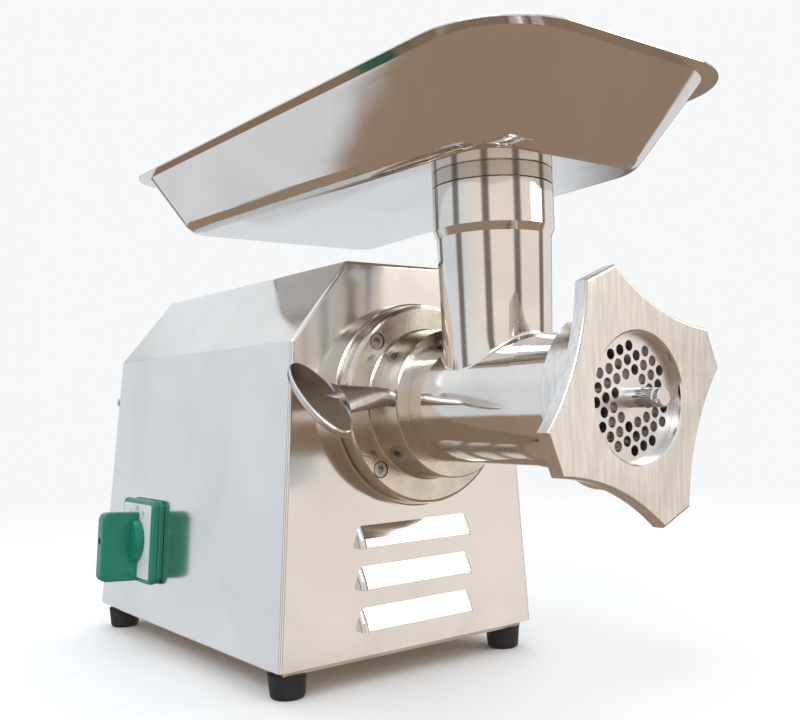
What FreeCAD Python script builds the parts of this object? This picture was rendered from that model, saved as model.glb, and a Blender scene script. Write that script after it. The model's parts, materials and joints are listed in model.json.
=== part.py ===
import FreeCAD, Part
import math
import os
import re

import Sketcher
from FreeCAD import Placement, Rotation, Vector

# Bench-top electric meat grinder. Drawing frame: +Z up, -Y is the front, where the mince comes out,
# +X is to the right of a person who looks along +Y. Y = 0 is the outer face of the front panel, X = 0
# is the plane of symmetry of the housing and the head, and Z = 0 is the surface that the feet stand on.
# When the sub-parts are written, they are moved together so that the origin lies at the centre of the
# bottom of the whole part's box.

document = FreeCAD.newDocument("meat_grinder")
sizes = document.addObject("Spreadsheet::Sheet", "Sizes")

SIZES = {
    # housing, folded from sheet and welded
    "base_width": 220, "shoulder_width": 190.6, "ridge_width": 100.6,
    "base_height": 20, "shoulder_height": 230.7, "ridge_height": 285.5,
    "housing_length": 313, "rear_lean": 27, "sheet": 1.5, "fold_radius": 4, "front_radius": 2.5,
    "lip": 14, "panel_screw": 2, "panel_screw_head": 4,
    # louvres pressed into the front panel and slots cut in the rear panel
    "louvre_length": 97, "louvre_rise": 15, "louvre_depth": 6.5, "louvre_top": 106.5, "louvre_pitch": 27.5,
    "vent_length": 90, "vent_height": 5, "vent_pitch": 14, "vent_bottom": 90,
    # base pan and feet
    "pan_inset": 6, "pan_drop": 4, "pan_sheet": 2, "foot_radius": 13, "foot_height": 16,
    "foot_across": 190, "foot_front": 16, "foot_rear": 298, "foot_screw": 3, "foot_screw_head": 5,
    # main axis and the stack on the front panel
    "axis_height": 187, "ring_radius": 70, "ring_thick": 9.5, "flange_radius": 67.8, "flange_thick": 11.3,
    "hub_radius": 50.5, "hub_nose_radius": 49.2, "hub_front": 49.3, "shank_radius": 36, "shank_seat": 19,
    "seal_radius": 26, "panel_hole": 30, "bolt_circle": 59.8, "flange_screw": 3, "flange_screw_head": 5,
    "screw_slack": 0.2, "head_slack": 0.8,
    "grub_radius": 3, "grub_length": 8, "grub_angle": 40, "fit": 0.05,
    # wing bolt
    "bolt_rise": 5, "bolt_forward": 37.5, "bolt_radius": 6, "stem_radius": 6.8, "stem_start": 55,
    "stem_end": 84, "stem_spread": 14.5, "stem_end_thick": 5, "wing_centre": 99, "wing_half": 36.5,
    "wing_half_width": 13.5, "wing_thick": 5, "wing_angle": 37.5,
    # head casting
    "barrel_radius": 39, "barrel_front_radius": 39.8, "barrel_step": 137, "barrel_end": 194,
    "thread_radius": 45, "thread_start": 177, "chamber_radius": 34, "chamber_back": 58,
    "shank_bore": 30, "back_wall": 46, "journal_radius": 13,
    "tube_forward": 91.3, "tube_radius": 38.2, "tube_low_radius": 33.4, "tube_neck_radius": 36.2,
    "tube_bore": 29, "cup_bottom": 294.5, "cup_bevel": 289.5, "tube_top": 321.6, "cup_seat": 300,
    "cup_bore": 35, "tube_blend": 3,
    # ring nut, plate and knife
    "nut_face": 202.2, "star_thick": 8, "skirt_radius": 50.5, "skirt_back": 176.3, "nut_opening": 35.8,
    "nut_lip": 6, "tip_radius": 71.8, "tip_half": 12.5, "nut_waist": 53, "tip_angle": 22.5,
    "plate_radius": 41, "plate_thick": 8, "plate_hole": 3, "plate_pitch": 7.9, "plate_turn": 17.6,
    "plate_inner": 13, "plate_outer": 29.5, "key_radius": 2.5, "knife_radius": 36, "knife_thick": 8.5,
    "blade_width": 13, "stud_radius": 5.3, "stud_tip": 217.8, "square_half": 6.5, "groove_depth": 0.8,
    # auger
    "flight_radius": 33.3, "flight_pitch": 33, "flight_back": 63, "flight_length": 104,
    "flight_root": 7, "flight_tip": 4, "core_back": 16, "core_front": 12.5, "tang_half": 8.8,
    "tang_length": 19, "washer_thick": 2.5, "washer_radius": 22,
    # tray
    "tray_bottom": 326.5, "tray_rim": 378, "tray_sheet": 1.2, "floor_half_rear": 94, "floor_half_front": 68,
    "floor_rear": 172, "floor_front": 164, "floor_corner_rear": 22, "floor_corner_front": 32,
    "rim_half_rear": 106, "rim_half_front": 98, "rim_rear": 226, "rim_front": 204, "rim_corner_rear": 31,
    "rim_corner_front": 49, "rim_flange": 9, "tray_round": 13, "neck_lip": 322, "neck_radius": 38,
    "neck_spigot": 34.8, "neck_bore": 31,
    # gearbox
    "box_radius": 58, "cavity_radius": 50, "box_front": 2, "box_cavity": 18, "box_cover": 50, "box_end": 62,
    "box_low": 88, "middle_height": 126, "motor_height": 83.5, "box_screw": 2.5, "box_screw_circle": 54,
    "output_teeth": 44, "pinion_teeth": 17, "output_module": 2, "middle_teeth": 51, "middle_module": 1.25,
    "backlash": 0.16, "output_gear_start": 20, "output_gear_end": 36, "middle_gear_start": 38.5,
    "middle_gear_end": 48, "output_shaft": 15, "seal_journal": 17.5, "socket_radius": 24,
    "socket_front": 44, "socket_back": 21, "big_bearing": 31, "rear_journal": 12.5, "rear_bearing": 26,
    "middle_shaft": 7.5, "middle_bearing": 17.5, "bearing_width": 11, "big_bearing_width": 14,
    # motor
    "motor_radius": 55, "motor_wall": 3, "bell_front": 78, "bell_rear": 198, "bell_end": 214,
    "core_start": 100, "core_end": 176, "rotor_radius": 32.4, "air_gap": 0.6, "winding_radius": 50,
    "winding_inner": 37, "winding_length": 13, "motor_shaft": 8.5, "rotor_shaft": 10, "motor_bearing": 20,
    "motor_bearing_width": 12, "shaft_end": 234, "fan_start": 218, "fan_end": 232, "fan_radius": 46,
    "fan_blade": 2, "cover_end": 242, "tie_radius": 2.5, "tie_circle": 61, "ear_radius": 7,
    "bracket_start": 130, "bracket_width": 40, "bracket_half": 38,
    "capacitor_radius": 17.5, "capacitor_length": 70, "capacitor_start": 100, "clip_wall": 1.6,
    # switch, in its own frame: z out of the side panel, x towards the front, y up the panel
    "switch_back": 223.5, "switch_height": 83, "switch_width": 63, "switch_tall": 65.5, "switch_base": 2.2,
    "switch_gap": 0.6, "switch_face": 7.4, "switch_inset": 1.5, "switch_corner": 5, "label_margin": 3.6,
    "label_thick": 0.8, "knob_gap": 0.6, "knob_radius": 18, "knob_skirt": 6, "knob_out": 30,
    "grip_thick": 10.6, "grip_up": 22.5, "grip_down": 32, "grip_corner": 6, "spindle": 3.5,
    "switch_body_width": 46, "switch_body_tall": 50, "switch_body_deep": 45,
    # cord inlet
    "gland_across": 60, "gland_height": 48, "gland_radius": 10, "gland_thread": 8, "gland_bore": 4.2,
    "gland_out": 14, "gland_in": 12,
}

for row, (alias, number) in enumerate(SIZES.items(), start=1):
    sizes.set(f"A{row}", alias)
    sizes.set(f"B{row}", str(number))
    sizes.setAlias(f"B{row}", alias)
document.recompute()

nodes = {}
FOUR_CORNERS = (45, 135, 225, 315)          # angles of four screws about an axis
FORWARD = Rotation(Vector(1, 0, 0), 90)     # turns local +Z to -Y
BACKWARD = Rotation(Vector(1, 0, 0), -90)   # turns local +Z to +Y
LEFTWARD = Rotation(Vector(0, 1, 0), -90)   # turns local +Z to -X
UPRIGHT = Rotation()


# ---------------------------------------------------------------- helpers

def formula(text):
    """An expression in which each size name points at the sheet."""
    return re.sub(r"\b(?!(?:deg|sin|cos|tan|atan|sqrt)\b)[a-z]\w*", r"Sizes.\g<0>", str(text))


def value(text):
    """The number that an expression of size names gives."""
    number = sizes.evalExpression(str(text))
    return float(getattr(number, "Value", number))


def bind(thing, **properties):
    """Set properties of an object from expressions."""
    for name, text in properties.items():
        thing.setExpression(name, formula(text))
    return thing


def put(thing, spot, turn=UPRIGHT):
    """Place an object at a spot of three expressions, turned by a rotation."""
    thing.Placement = Placement(Vector(*(value(text) for text in spot)), turn)
    for letter, text in zip("xyz", spot):
        thing.setExpression(f"Placement.Base.{letter}", formula(text))
    return thing


def cylinder(radius, length, spot, turn=UPRIGHT):
    """Cylinder that starts at spot and runs along the turned +Z."""
    thing = bind(document.addObject("Part::Cylinder", "cylinder"), Radius=radius, Height=length)
    return put(thing, spot, turn)


def cone(start_radius, end_radius, length, spot, turn=UPRIGHT):
    """Truncated cone that starts at spot and runs along the turned +Z."""
    thing = document.addObject("Part::Cone", "cone")
    return put(bind(thing, Radius1=start_radius, Radius2=end_radius, Height=length), spot, turn)


def hexagon(radius, length, spot, turn=UPRIGHT):
    """Six-sided prism, such as a nut or the socket in a screw's head."""
    thing = document.addObject("Part::Prism", "hexagon")
    thing.Polygon = 6
    return put(bind(thing, Circumradius=radius, Height=length), spot, turn)


def block(length, width, height, spot, turn=UPRIGHT):
    """Box with its lowest corner at spot."""
    thing = bind(document.addObject("Part::Box", "block"), Length=length, Width=width, Height=height)
    return put(thing, spot, turn)


def fuse(*shapes):
    """Union of several objects."""
    thing = document.addObject("Part::MultiFuse", "union")
    thing.Shapes = list(shapes)
    thing.Refine = True
    return thing


def group(*shapes):
    """Several separate solids kept as one object."""
    thing = document.addObject("Part::Compound", "group")
    thing.Links = list(shapes)
    return thing


def common(first, second):
    """What two objects share."""
    thing = document.addObject("Part::Common", "common")
    thing.Base = first
    thing.Tool = second
    return thing


def cut(base, *tools):
    """An object with several others taken away from it."""
    thing = document.addObject("Part::Cut", "difference")
    thing.Base = base
    thing.Tool = tools[0] if len(tools) == 1 else fuse(*tools)
    return thing


def node(label, thing):
    """Name an object as one finished sub-part."""
    thing.Label = label
    nodes[label] = thing
    return thing


def outline_sketch(body, role, outline):
    """Closed outline of straight lines on a body's origin plane, each corner a pair of expressions."""
    sketch = body.newObject("Sketcher::SketchObject", "outline")
    plane = next(item for item in body.Origin.OriginFeatures if item.Role == role)
    sketch.AttachmentSupport = (plane, "")
    sketch.MapMode = "FlatFace"
    corners = [Vector(value(across), value(along), 0) for across, along in outline]
    count = len(corners)
    for index, corner in enumerate(corners):
        sketch.addGeometry(Part.LineSegment(corner, corners[(index + 1) % count]))
    for index in range(count):
        sketch.addConstraint(Sketcher.Constraint("Coincident", index, 2, (index + 1) % count, 1))
    for index, texts in enumerate(outline):
        for kind, text in zip(("DistanceX", "DistanceY"), texts):
            rule = sketch.addConstraint(Sketcher.Constraint(kind, -1, 1, index, 1, value(text)))
            sketch.setExpression(f"Constraints[{rule}]", formula(text))
    return sketch


def lathe(profile, height="axis_height", across="0"):
    """Body turned about an axis along Y; the profile's points are (radius, y)."""
    body = document.addObject("PartDesign::Body", "turned")
    sketch = outline_sketch(body, "XY_Plane", profile)
    turned = body.newObject("PartDesign::Revolution", "revolution")
    turned.Profile = sketch
    turned.ReferenceAxis = (sketch, ["V_Axis"])
    turned.Angle = 360
    return put(body, (across, "0", height))


def slab(outline, start, length, spot_x="0"):
    """Body padded towards +Y from an outline of (x, z) points."""
    body = document.addObject("PartDesign::Body", "slab")
    pad = body.newObject("PartDesign::Pad", "pad")
    pad.Profile = outline_sketch(body, "XZ_Plane", outline)
    pad.Reversed = True
    bind(pad, Length=length)
    return put(body, (spot_x, start, "0"))


def rounded(base, radius, wanted):
    """Part::Fillet on the edges of base that wanted(edge) picks."""
    document.recompute()
    thing = document.addObject("Part::Fillet", "rounded")
    thing.Base = base
    picked = [index for index, edge in enumerate(base.Shape.Edges, start=1) if wanted(edge)]
    thing.Edges = [(index, value(radius), value(radius)) for index in picked]
    return thing


def runs_along(letter):
    """Test for straight edges that run along one axis."""
    def test(edge):
        if len(edge.Vertexes) != 2 or edge.Curve.TypeId != "Part::GeomLine":
            return False
        step = edge.Vertexes[1].Point - edge.Vertexes[0].Point
        return abs(getattr(step, letter)) > 0.99 * step.Length
    return test


def level(letter, text):
    """Test for edges that lie wholly in one plane across an axis."""
    place = value(text)

    def test(edge):
        box = edge.BoundBox
        low, high = getattr(box, letter + "Min"), getattr(box, letter + "Max")
        return abs(low - place) < 0.01 and abs(high - place) < 0.01
    return test


def socket_screw(radius, length, head_radius, spot, turn):
    """Socket-head screw; spot is under its head, which lies along the turned +Z."""
    local = Placement(Vector(), turn).multVec
    tall = f"{radius} * 2"

    def along(text):
        """Spot that lies text further along the screw's own axis."""
        way = local(Vector(0, 0, 1))
        return tuple(f"{start} + ({text}) * {round(part, 6)}" for start, part in zip(spot, way))
    head = cylinder(head_radius, tall, spot, turn)
    shank = cylinder(radius, length, along(f"-({length})"), turn)
    socket = hexagon(f"{radius} * 0.95", f"{radius} * 1.1", along(f"{radius} * 0.95"), turn)
    return cut(fuse(head, shank), socket)


def countersunk_screw(radius, length, head_tall, spot, turn):
    """Countersunk screw; spot is the middle of its flat head, and its shank runs along the turned +Z."""
    head = cone(f"{radius} * 2", radius, head_tall, spot, turn)
    shank = cylinder(radius, length, spot, turn)
    socket = hexagon(f"{radius} * 0.6", f"{head_tall} * 0.7", spot, turn)
    return cut(fuse(head, shank), socket)


def on_circle(radius, angle, y, height="axis_height", across="0"):
    """Spot on a circle about an axis along Y, at an angle in degrees from +X towards +Z."""
    return (f"{across} + ({radius}) * cos({angle} deg)", y, f"{height} + ({radius}) * sin({angle} deg)")


def ring(outer, inner, start, end, height="axis_height", across="0"):
    """Plain ring about an axis along Y, from start to end."""
    return lathe([(inner, start), (outer, start), (outer, end), (inner, end)], height, across)


# ---------------------------------------------------------------- housing

HOUSE_OUTLINE = [
    ("-base_width / 2", "base_height"), ("-shoulder_width / 2", "shoulder_height"),
    ("-ridge_width / 2", "ridge_height"), ("ridge_width / 2", "ridge_height"),
    ("shoulder_width / 2", "shoulder_height"), ("base_width / 2", "base_height")]
SIDE_ANGLE = math.degrees(math.atan2(value("(base_width - shoulder_width) / 2"),
                                     value("shoulder_height - base_height")))
REAR_ANGLE = math.degrees(math.atan2(value("rear_lean"), value("ridge_height - base_height")))
REAR_TURN = Rotation(Vector(1, 0, 0), REAR_ANGLE)


def rear_slab(inset, depth, ahead):
    """Slab of the housing's outline, drawn in by inset, that lies along the leaning rear face."""
    body = document.addObject("PartDesign::Body", "rear_slab")
    pad = body.newObject("PartDesign::Pad", "pad")
    stretch = "sqrt((ridge_height - base_height)^2 + rear_lean^2) / (ridge_height - base_height)"
    points = []
    for across, up in HOUSE_OUTLINE:
        side = "-" if across.startswith("-") else "+"
        drop = f"- ({inset})" if up != "base_height" else f"+ ({inset})"
        inward = f"{across} {'+' if side == '-' else '-'} ({inset})"
        points.append((inward, f"(({up}) - base_height) * {stretch} {drop}"))
    pad.Profile = outline_sketch(body, "XZ_Plane", points)
    pad.Reversed = True
    bind(pad, Length=depth)
    across = math.cos(math.radians(REAR_ANGLE))
    down = math.sin(math.radians(REAR_ANGLE))
    spot = ("0", f"housing_length - ({ahead}) * {across:.6f}", f"base_height - ({ahead}) * {down:.6f}")
    return put(body, spot, REAR_TURN)


def housing_form():
    """Closed outer form of the housing, with its folds rounded and its bottom open."""
    body = document.addObject("PartDesign::Body", "housing_form")
    pad = body.newObject("PartDesign::Pad", "pad")
    pad.Profile = outline_sketch(body, "XZ_Plane", HOUSE_OUTLINE)
    pad.Reversed = True
    bind(pad, Length="housing_length")
    slope = body.newObject("PartDesign::Pocket", "rear_slope")
    beyond = "housing_length + sheet"
    slope.Profile = outline_sketch(body, "YZ_Plane", [
        ("housing_length", "base_height"), (beyond, "base_height"), (beyond, "ridge_height + sheet"),
        ("housing_length - rear_lean * (1 + sheet / (ridge_height - base_height))", "ridge_height + sheet")])
    slope.Type = "ThroughAll"
    slope.Midplane = True
    document.recompute()

    def named(test):
        return [f"Edge{index}" for index, edge in enumerate(body.Shape.Edges, start=1) if test(edge)]
    above = value("base_height") + 1
    folds = body.newObject("PartDesign::Fillet", "folds")
    folds.Base = (slope, named(lambda edge: runs_along("y")(edge) and edge.BoundBox.ZMin > above))
    bind(folds, Radius="fold_radius")
    document.recompute()
    front = body.newObject("PartDesign::Fillet", "front_bend")
    front.Base = (folds, named(lambda edge: level("Y", "0")(edge) and edge.BoundBox.ZMax > above))
    bind(front, Radius="front_radius")
    document.recompute()
    hollow = body.newObject("PartDesign::Thickness", "wall")
    below = [f"Face{index}" for index, face in enumerate(body.Shape.Faces, start=1)
             if face.BoundBox.ZMax < above]
    hollow.Base = (front, below)
    hollow.Reversed = True
    bind(hollow, Value="sheet")
    return body


def louvre_solid(number, grow, length_less):
    """One louvre's hood as a solid: a sloping face with rounded ends, open side down."""
    top = f"louvre_top - {number} * louvre_pitch"
    foot = f"{top} - louvre_rise"
    body = document.addObject("PartDesign::Body", "louvre")
    pad = body.newObject("PartDesign::Pad", "pad")
    pad.Profile = outline_sketch(body, "YZ_Plane", [
        ("sheet", f"{top} - ({grow})"), ("0", f"{top} - ({grow})"),
        ("-louvre_depth * 0.72", f"{foot} + louvre_rise * 0.42 - ({grow}) * 0.6"),
        (f"-louvre_depth + ({grow})", f"{foot} + louvre_rise * 0.1"),
        (f"-louvre_depth + ({grow})", foot), ("sheet", foot)])
    pad.Midplane = True
    bind(pad, Length=f"louvre_length - 2 * ({length_less})")
    document.recompute()
    ends = body.newObject("PartDesign::Fillet", "ends")
    half = value(f"louvre_length / 2 - ({length_less})")

    def rim_of_an_end(edge):
        """Edges that climb over an end of the hood, in front of the panel."""
        box = edge.BoundBox
        at_end = abs(abs(box.XMin) - half) < 0.01 and box.XLength < 0.01
        return at_end and box.ZLength > 0.1 and box.YMax < value("sheet") - 0.01
    picked = [f"Edge{index}" for index, edge in enumerate(body.Shape.Edges, start=1) if rim_of_an_end(edge)]
    ends.Base = (pad, picked)
    bind(ends, Radius=f"louvre_depth * 0.6 - ({grow}) * 0.5")
    return body


def housing():
    """Housing shell: sides, roof, front panel with louvres, and lips for the pan and the rear panel."""
    form = housing_form()
    window = rear_slab("lip", "sheet * 4", "sheet * 3")
    half = "base_width / 2 - sheet"
    lips = [block("lip", "housing_length - sheet * 3", "sheet", (f"-({half})", "sheet * 0.5", "base_height")),
            block("lip", "housing_length - sheet * 3", "sheet",
                  (f"{half} - lip", "sheet * 0.5", "base_height")),
            block("base_width - sheet * 3", "lip", "sheet", ("-(base_width - sheet * 3) / 2", "sheet * 0.5",
                                                             "base_height"))]
    openings = [cylinder("panel_hole", "sheet * 3", ("0", "-sheet", "axis_height"), BACKWARD)]
    openings += [cylinder("flange_screw + screw_slack", "sheet * 3",
                          on_circle("bolt_circle", angle, "-sheet"), BACKWARD) for angle in FOUR_CORNERS]
    openings += [louvre_solid(number, "sheet", "sheet") for number in range(3)]
    openings += [cylinder("panel_screw + fit", "sheet * 3", (across, along, "base_height - sheet"))
                 for across, along in pan_screw_spots()]
    openings += [cylinder("foot_screw * 2.4", "sheet * 3", (across, along, "base_height - sheet"))
                 for across, along in foot_spots()]
    openings.append(switch_place(cylinder("spindle * 2.6", "sheet * 6", ("0", "0", "-sheet * 3"))))
    openings.append(window)
    hoods = [louvre_solid(number, "0", "0") for number in range(3)]
    openings += rear_screw_holes("panel_screw")
    return cut(fuse(form, *hoods, *lips), *openings)


def pan_screw_spots():
    """Where the base pan is screwed to the housing's lip."""
    near = "base_width / 2 - lip"
    return [(f"{side} * ({near})", along) for side in (-1, 1)
            for along in ("housing_length * 0.25", "housing_length * 0.5", "housing_length * 0.75")]


def rear_screw_spots():
    """Screw places on the rear panel as (x, height above the housing's bottom edge)."""
    tall = "(ridge_height - base_height)"
    spots = [(f"{side} * (base_width / 2 - lip * 0.62)", "lip * 0.6") for side in (-1, 1)]
    spots += [(f"{side} * (shoulder_width / 2 - lip * 0.1)", f"{tall} * 0.66") for side in (-1, 1)]
    spots += [(f"{side} * ridge_width * 0.4", f"{tall} - lip * 0.4") for side in (-1, 1)]
    return spots


def on_rear(across, up, out):
    """Spot at a place on the leaning rear face, and out from it."""
    lean = math.radians(REAR_ANGLE)
    return (across, f"housing_length - ({up}) * {math.tan(lean):.6f} + ({out}) * {math.cos(lean):.6f}",
            f"base_height + ({up}) + ({out}) * {math.sin(lean):.6f}")


REAR_OUT = REAR_TURN.multiply(BACKWARD)     # local +Z points out of the rear face


def rear_screw_holes(radius):
    """Holes for the screws round the rear panel's edge."""
    return [cylinder(f"{radius} + fit", "sheet * 8", on_rear(across, up, "-sheet * 4"), REAR_OUT)
            for across, up in rear_screw_spots()]


def rear_panel():
    """Rear panel: a flat sheet behind the housing's rear lip, with vent slots and the cord's hole."""
    vents = [block("vent_length", "sheet * 8", "vent_height",
                   on_rear("-vent_length / 2", f"vent_bottom + {row} * vent_pitch", "-sheet * 4"), REAR_TURN)
             for row in range(5)]
    inlet = cylinder("gland_thread + fit", "sheet * 8", on_rear("gland_across", "gland_height", "-sheet * 4"),
                     REAR_OUT)
    return cut(rear_slab("sheet / 3", "sheet", "0"), inlet, *vents, *rear_screw_holes("panel_screw"))


def rear_screws():
    """Socket screws round the rear panel's edge."""
    return group(*[socket_screw("panel_screw", "sheet * 4", "panel_screw_head",
                                on_rear(across, up, "sheet"), REAR_OUT) for across, up in rear_screw_spots()])


def base_pan():
    """Base pan: a sheet with a rim folded up to the housing's lip."""
    wide = "base_width - 2 * pan_inset"
    long = "housing_length - 2 * pan_inset"
    below = "base_height - pan_drop"
    outer = block(wide, long, "pan_drop", (f"-({wide}) / 2", "pan_inset", below))
    hollow = block(f"{wide} - 2 * pan_sheet", f"{long} - 2 * pan_sheet", "pan_drop",
                   (f"-({wide}) / 2 + pan_sheet", "pan_inset + pan_sheet", f"{below} + pan_sheet"))
    holes = [cylinder("foot_screw + fit", "pan_drop * 2", (across, along, below))
             for across, along in foot_spots()]
    holes += [cylinder("panel_screw + fit", "pan_drop * 2", (across, along, below))
              for across, along in pan_screw_spots()]
    holes += [cone("panel_screw * 2", "panel_screw", "pan_sheet", (across, along, below))
              for across, along in pan_screw_spots()]
    return cut(outer, hollow, *holes)


def foot_spots():
    """Places of the four feet, the front pair first and the left one first in each pair."""
    return [(f"{side} * foot_across / 2", along) for along in ("foot_front", "foot_rear") for side in (-1, 1)]


def foot(across, along):
    """Rubber foot: a plug with a rounded sole, a screw hole and a recess for the screw's head."""
    plug = cone("foot_radius * 0.88", "foot_radius", "foot_height", (across, along, "0"))
    sole = rounded(plug, "foot_radius / 5", level("Z", "0"))
    recess = cylinder("foot_screw_head + screw_slack", "foot_height / 2", (across, along, "0"))
    hole = cylinder("foot_screw + fit", "foot_height", (across, along, "0"))
    return cut(sole, recess, hole)


def base_hardware():
    """Feet with their screws and nuts, and the screws of the base pan."""
    corners = ("front_left", "front_right", "rear_left", "rear_right")
    for corner, (across, along) in zip(corners, foot_spots()):
        node(f"foot_{corner}", foot(across, along))
    down = Rotation(Vector(1, 0, 0), 180)
    feet_screws = [socket_screw("foot_screw", "foot_height * 0.75", "foot_screw_head",
                                (across, along, "foot_height / 2"), down) for across, along in foot_spots()]
    pan_screws = [countersunk_screw("panel_screw", "foot_screw * 3", "pan_sheet",
                                    (across, along, "base_height - pan_drop"), UPRIGHT)
                  for across, along in pan_screw_spots()]
    node("base_screws", group(*feet_screws, *pan_screws))
    pan_top = "base_height - pan_drop + pan_sheet"
    node("foot_nuts", group(*[
        cut(hexagon("foot_screw * 1.9", "foot_screw * 1.6", (across, along, pan_top)),
            cylinder("foot_screw", "foot_height", (across, along, f"{pan_top} - pan_sheet")))
        for across, along in foot_spots()]))


# ---------------------------------------------------------------- stack on the front panel

def front_stack():
    """Spacer ring, flange with its hub, and their screws."""
    flange_face = "ring_thick + 0.2 + flange_thick"
    ring_body = lathe([("panel_hole", "0"), ("ring_radius", "0"), ("ring_radius", "1 - ring_thick"),
                       ("ring_radius - 1", "-ring_thick"), ("panel_hole", "-ring_thick")])
    node("spacer_ring", cut(ring_body, *[
        cylinder("flange_screw + screw_slack", "ring_thick * 2",
                 on_circle("bolt_circle", angle, "-ring_thick * 1.5"), BACKWARD) for angle in FOUR_CORNERS]))
    back = "-ring_thick"
    hub = lathe([
        ("seal_radius", back), ("flange_radius - 1", back), ("flange_radius", f"{back} - 1"),
        ("flange_radius", f"-({flange_face}) + 2.4"), ("flange_radius - 0.7", f"-({flange_face}) + 0.7"),
        ("flange_radius - 2.4", f"-({flange_face})"), ("hub_radius + 1", f"-({flange_face})"),
        ("hub_radius", f"-({flange_face}) - 1"), ("hub_nose_radius", "-hub_front + 0.8"),
        ("hub_nose_radius - 0.8", "-hub_front"), ("shank_radius", "-hub_front"),
        ("shank_radius", "-shank_seat"), ("seal_radius", "-shank_seat")])
    under_heads = f"-({flange_face}) + flange_screw * 2.1"
    holes = []
    for angle in FOUR_CORNERS:
        holes.append(cylinder("flange_screw + screw_slack", "flange_thick * 2",
                              on_circle("bolt_circle", angle, "-ring_thick - flange_thick * 1.5"), BACKWARD))
        holes.append(cylinder("flange_screw_head + head_slack", "flange_screw * 3",
                              on_circle("bolt_circle", angle, under_heads), FORWARD))
    wall_hole = ("0", "-bolt_forward", "axis_height + bolt_rise")
    holes.append(cylinder("bolt_radius + fit", "hub_radius * 1.2", wall_hole, LEFTWARD))
    for side in (1, -1):
        holes.append(cylinder("grub_radius", "hub_radius * 1.2", ("0", "-(hub_front + shank_seat) / 2",
                                                                  "axis_height"), grub_turn(side)))
    node("flange_hub", cut(hub, *holes))
    node("flange_screws", group(*[
        socket_screw("flange_screw", "ring_thick + flange_thick + 5", "flange_screw_head",
                     on_circle("bolt_circle", angle, under_heads), FORWARD)
        for angle in FOUR_CORNERS]))
    node("hub_grub_screws", group(*[grub_screw(side) for side in (1, -1)]))
    node("oil_seal", ring("seal_radius", "seal_journal + fit", "-shank_seat + 1", "-ring_thick - 1"))


def grub_turn(side):
    """Turn of a grub screw: out to the left, above or below the axis."""
    lift = math.radians(value("grub_angle")) * side
    return Rotation(Vector(0, 0, 1), Vector(-math.cos(lift), 0, math.sin(lift)))


def grub_screw(side):
    """Grub screw in the hub's wall, its socket just below the surface."""
    lift = math.radians(value("grub_angle")) * side

    def out(radius):
        return (f"-({radius}) * {math.cos(lift):.6f}", "-(hub_front + shank_seat) / 2",
                f"axis_height + ({radius}) * {math.sin(lift):.6f}")
    screw = cylinder("grub_radius", "grub_length", out("hub_nose_radius - grub_length - 0.6"),
                     grub_turn(side))
    socket = hexagon("grub_radius * 0.55", "grub_radius * 1.2", out("hub_nose_radius - grub_radius - 0.6"),
                     grub_turn(side))
    return cut(screw, socket)


def wing_bolt():
    """Wing bolt: threaded stud, a stem that spreads, and a flat oval wing; local +Z points left."""
    stud = cylinder("bolt_radius", "stem_start - shank_radius - 0.3", ("0", "0", "shank_radius + 0.3"))
    start = put(bind(document.addObject("Part::Circle", "stem_circle"), Radius="stem_radius"),
                ("0", "0", "stem_start"))
    end = put(bind(document.addObject("Part::Ellipse", "stem_oval"), MajorRadius="stem_spread",
                   MinorRadius="stem_end_thick"), ("0", "0", "stem_end"))
    stem = document.addObject("Part::Loft", "stem")
    stem.Sections = [start, end]
    stem.Solid = True
    oval = bind(document.addObject("Part::Ellipse", "wing_oval"), MajorRadius="wing_half",
                MinorRadius="wing_half_width")
    put(oval, ("0", "wing_thick / 2", "wing_centre"), FORWARD)
    wing = document.addObject("Part::Extrusion", "wing")
    wing.Base = oval
    wing.DirMode = "Custom"
    wing.Dir = Vector(0, -1, 0)
    wing.Solid = True
    bind(wing, LengthFwd="wing_thick")
    soft = rounded(wing, "wing_thick * 0.3", lambda edge: True)
    root = cone("stem_end_thick", "wing_thick * 0.45", "wing_half_width * 0.9", ("0", "0", "stem_end"))
    bolt = fuse(stud, stem, soft, root)
    lift = math.radians(value("wing_angle"))
    turn = Rotation(Vector(0, math.cos(lift), math.sin(lift)), Vector(0, math.sin(lift), -math.cos(lift)),
                    Vector(-1, 0, 0), "ZXY")
    return put(bolt, ("0", "-bolt_forward", "axis_height + bolt_rise"), turn)


# ---------------------------------------------------------------- head

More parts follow.
